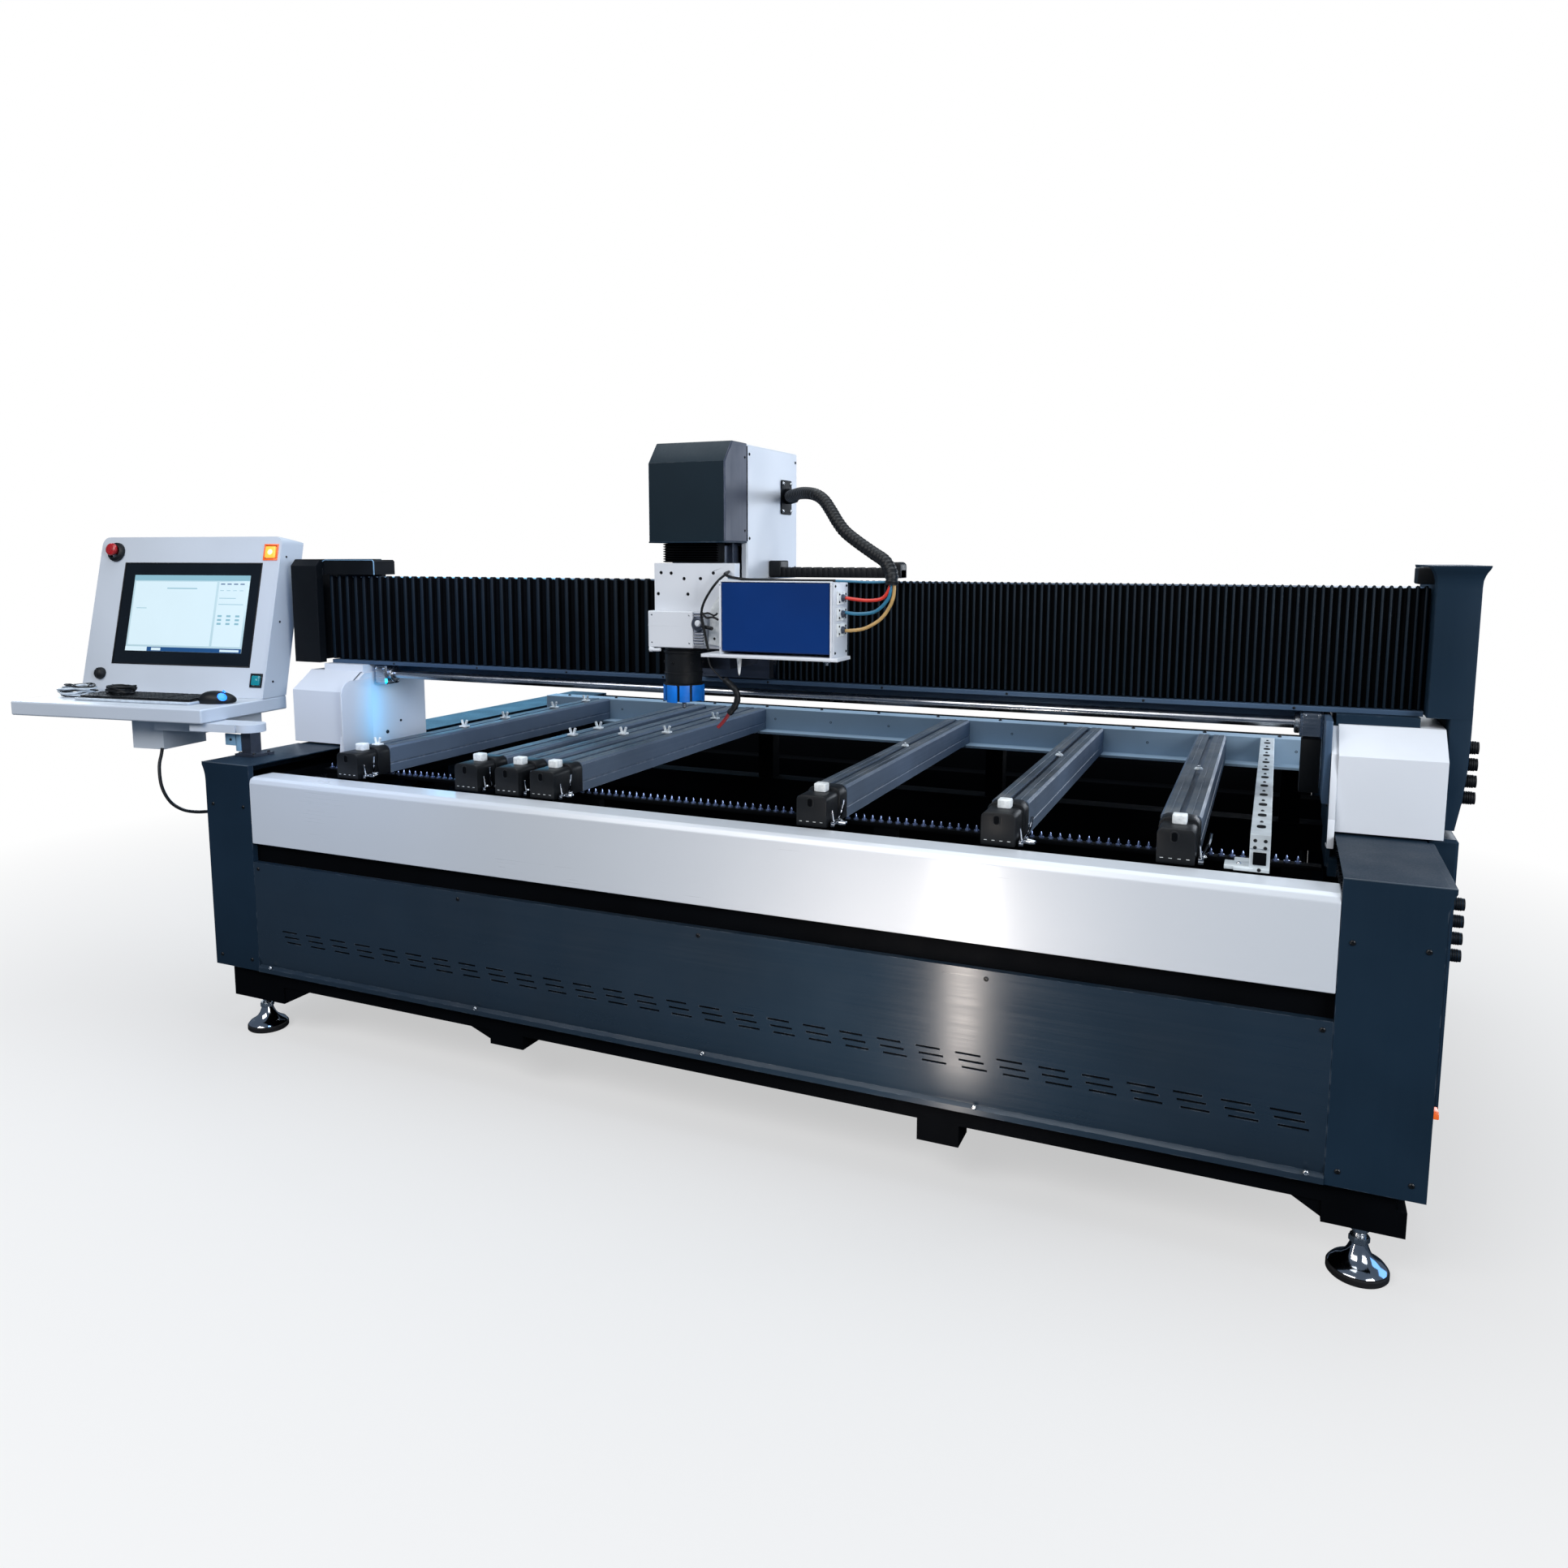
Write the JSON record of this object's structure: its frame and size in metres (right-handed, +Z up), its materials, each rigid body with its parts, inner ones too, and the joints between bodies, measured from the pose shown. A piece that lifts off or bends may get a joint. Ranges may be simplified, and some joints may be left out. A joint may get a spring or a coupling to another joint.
{
  "type": "cnc router",
  "caption": "Bridge-type CNC router: open bed with sliding support bars, travelling gantry with pleated bellows, spindle head and swivelling operator console.",
  "frame": {"origin": "middle of the footprint of the whole object, on the floor", "axes": "+X runs along the bed to the right as the operator sees it from the front, +Y runs from the front panel to the rear, +Z is up"},
  "size_m": [4.3303, 2.0317, 1.767],
  "materials": {
    "painted_dark": "satin dark slate powder coat",
    "painted_light": "satin light grey powder coat",
    "painted_black": "matt black paint",
    "bellows_cloth": "coated folding cloth",
    "bar_aluminium": "dark anodised",
    "machined_steel": "ground",
    "chrome_foot": "polished",
    "blue_case": "satin navy",
    "blue_skirt": "soft",
    "black_plastic": "matt",
    "screen": "lit display behind glass",
    "red_plastic": "gloss",
    "orange_plastic": "gloss, lit",
    "teal_plastic": "gloss"
  },
  "bodies": {
    "base": {"base_frame": "painted_black", "front_fascia": "painted_light", "front_lower_panel": "painted_dark", "side_casing_left": "painted_dark", "side_casing_right": "painted_dark", "side_cabinet_right": "painted_dark", "rear_panel": "painted_dark", "bed_tray": "painted_black", "front_rack": "machined_steel", "rear_rail": "bar_aluminium", "scale_bar": "machined_steel", "y_rail_left": "machined_steel", "y_rail_right": "machined_steel", "foot_front_left": "chrome_foot", "foot_front_right": "chrome_foot", "foot_rear_left": "chrome_foot", "foot_rear_right": "chrome_foot", "console_post": "bar_aluminium"},
    "gantry": {"gantry_beam": "painted_dark", "gantry_leg_left": "painted_dark", "gantry_leg_right": "painted_dark", "leg_cover_left": "painted_light", "leg_cover_right": "painted_light", "end_cover_left": "painted_black", "end_cover_right": "painted_dark", "x_rail_upper": "machined_steel", "x_rail_lower": "machined_steel", "bellows_left": "bellows_cloth", "bellows_right": "bellows_cloth", "shaft_bearing_left": "machined_steel", "shaft_bearing_right": "machined_steel"},
    "sync_shaft": {"sync_shaft": "machined_steel"},
    "carriage": {"saddle": "bar_aluminium", "head_box": "painted_light", "head_cover": "painted_dark", "z_bellows": "bellows_cloth", "cable_trough": "black_plastic"},
    "spindle_head": {"z_plate": "painted_light", "spindle_clamp": "painted_light", "spindle_body": "black_plastic", "dust_skirt": "blue_skirt", "driver_box": "blue_case", "driver_frame": "painted_light"},
    "tool": {"spindle_tool": "machined_steel"},
    "console": {"console_bracket": "painted_light", "console_shelf": "painted_light", "console_housing": "painted_light", "console_screen": "screen", "keyboard": "black_plastic"},
    "emergency_stop": {"emergency_stop": "red_plastic"},
    "lamp_button": {"lamp_button": "orange_plastic"},
    "start_button": {"start_button": "teal_plastic"},
    "power_switch": {"power_switch": "orange_plastic"},
    "bar_1": {"support_bar_1": "bar_aluminium"},
    "bar_2": {"support_bar_2": "bar_aluminium"},
    "bar_3": {"support_bar_3": "bar_aluminium"},
    "bar_4": {"support_bar_4": "bar_aluminium"},
    "bar_5": {"support_bar_5": "bar_aluminium"},
    "bar_6": {"support_bar_6": "bar_aluminium"},
    "bar_7": {"support_bar_7": "bar_aluminium"}
  },
  "joints": [
    {"name": "gantry_travel", "type": "slide", "parent": "base", "child": "gantry", "axis": [0, 1, 0], "range_m": [-0.17, 1.1]},
    {"name": "carriage_travel", "type": "slide", "parent": "gantry", "child": "carriage", "axis": [1, 0, 0], "range_m": [-1.2, 1.18], "deforming": ["bellows_left", "bellows_right"]},
    {"name": "head_lift", "type": "slide", "parent": "carriage", "child": "spindle_head", "axis": [0, 0, 1], "range_m": [-0.12, 0.035], "deforming": ["z_bellows"]},
    {"name": "spindle_spin", "type": "hinge", "parent": "spindle_head", "child": "tool", "pos_m": [0.2892, -0.7492, 1.105], "axis": [0, 0, 1], "continuous": true},
    {"name": "sync_shaft_spin", "type": "hinge", "parent": "gantry", "child": "sync_shaft", "pos_m": [0.4032, -0.4392, 1.079], "axis": [1, 0, 0], "continuous": true},
    {"name": "console_swivel", "type": "hinge", "parent": "base", "child": "console", "pos_m": [-1.2148, -0.8342, 0.95], "axis": [0, 0, 1], "range_deg": [0, 50]},
    {"name": "emergency_stop_press", "type": "slide", "parent": "console", "child": "emergency_stop", "axis": [-0.1286, 0.9584, -0.2548], "range_m": [0, 0.006]},
    {"name": "lamp_button_press", "type": "slide", "parent": "console", "child": "lamp_button", "axis": [-0.1286, 0.9584, -0.2548], "range_m": [0, 0.003]},
    {"name": "start_button_press", "type": "slide", "parent": "console", "child": "start_button", "axis": [-0.1286, 0.9584, -0.2548], "range_m": [0, 0.003]},
    {"name": "power_switch_turn", "type": "hinge", "parent": "base", "child": "power_switch", "pos_m": [2.0752, -0.7342, 0.29], "axis": [1, 0, 0], "range_deg": [0, 90]},
    {"name": "bar_1_slide", "type": "slide", "parent": "base", "child": "bar_1", "axis": [1, 0, 0], "range_m": [-0.12, 0.15]},
    {"name": "bar_2_slide", "type": "slide", "parent": "base", "child": "bar_2", "axis": [1, 0, 0], "range_m": [-0.12, 0.015]},
    {"name": "bar_3_slide", "type": "slide", "parent": "base", "child": "bar_3", "axis": [1, 0, 0], "range_m": [-0.015, 0.01]},
    {"name": "bar_4_slide", "type": "slide", "parent": "base", "child": "bar_4", "axis": [1, 0, 0], "range_m": [-0.005, 0.25]},
    {"name": "bar_5_slide", "type": "slide", "parent": "base", "child": "bar_5", "axis": [1, 0, 0], "range_m": [-0.2, 0.15]},
    {"name": "bar_6_slide", "type": "slide", "parent": "base", "child": "bar_6", "axis": [1, 0, 0], "range_m": [-0.12, 0.12]},
    {"name": "bar_7_slide", "type": "slide", "parent": "base", "child": "bar_7", "axis": [1, 0, 0], "range_m": [-0.12, 0.04]}
  ],
  "couplings": [
    {"joint": "sync_shaft_spin", "follows": "gantry_travel", "rad_per_m": 40}
  ]
}
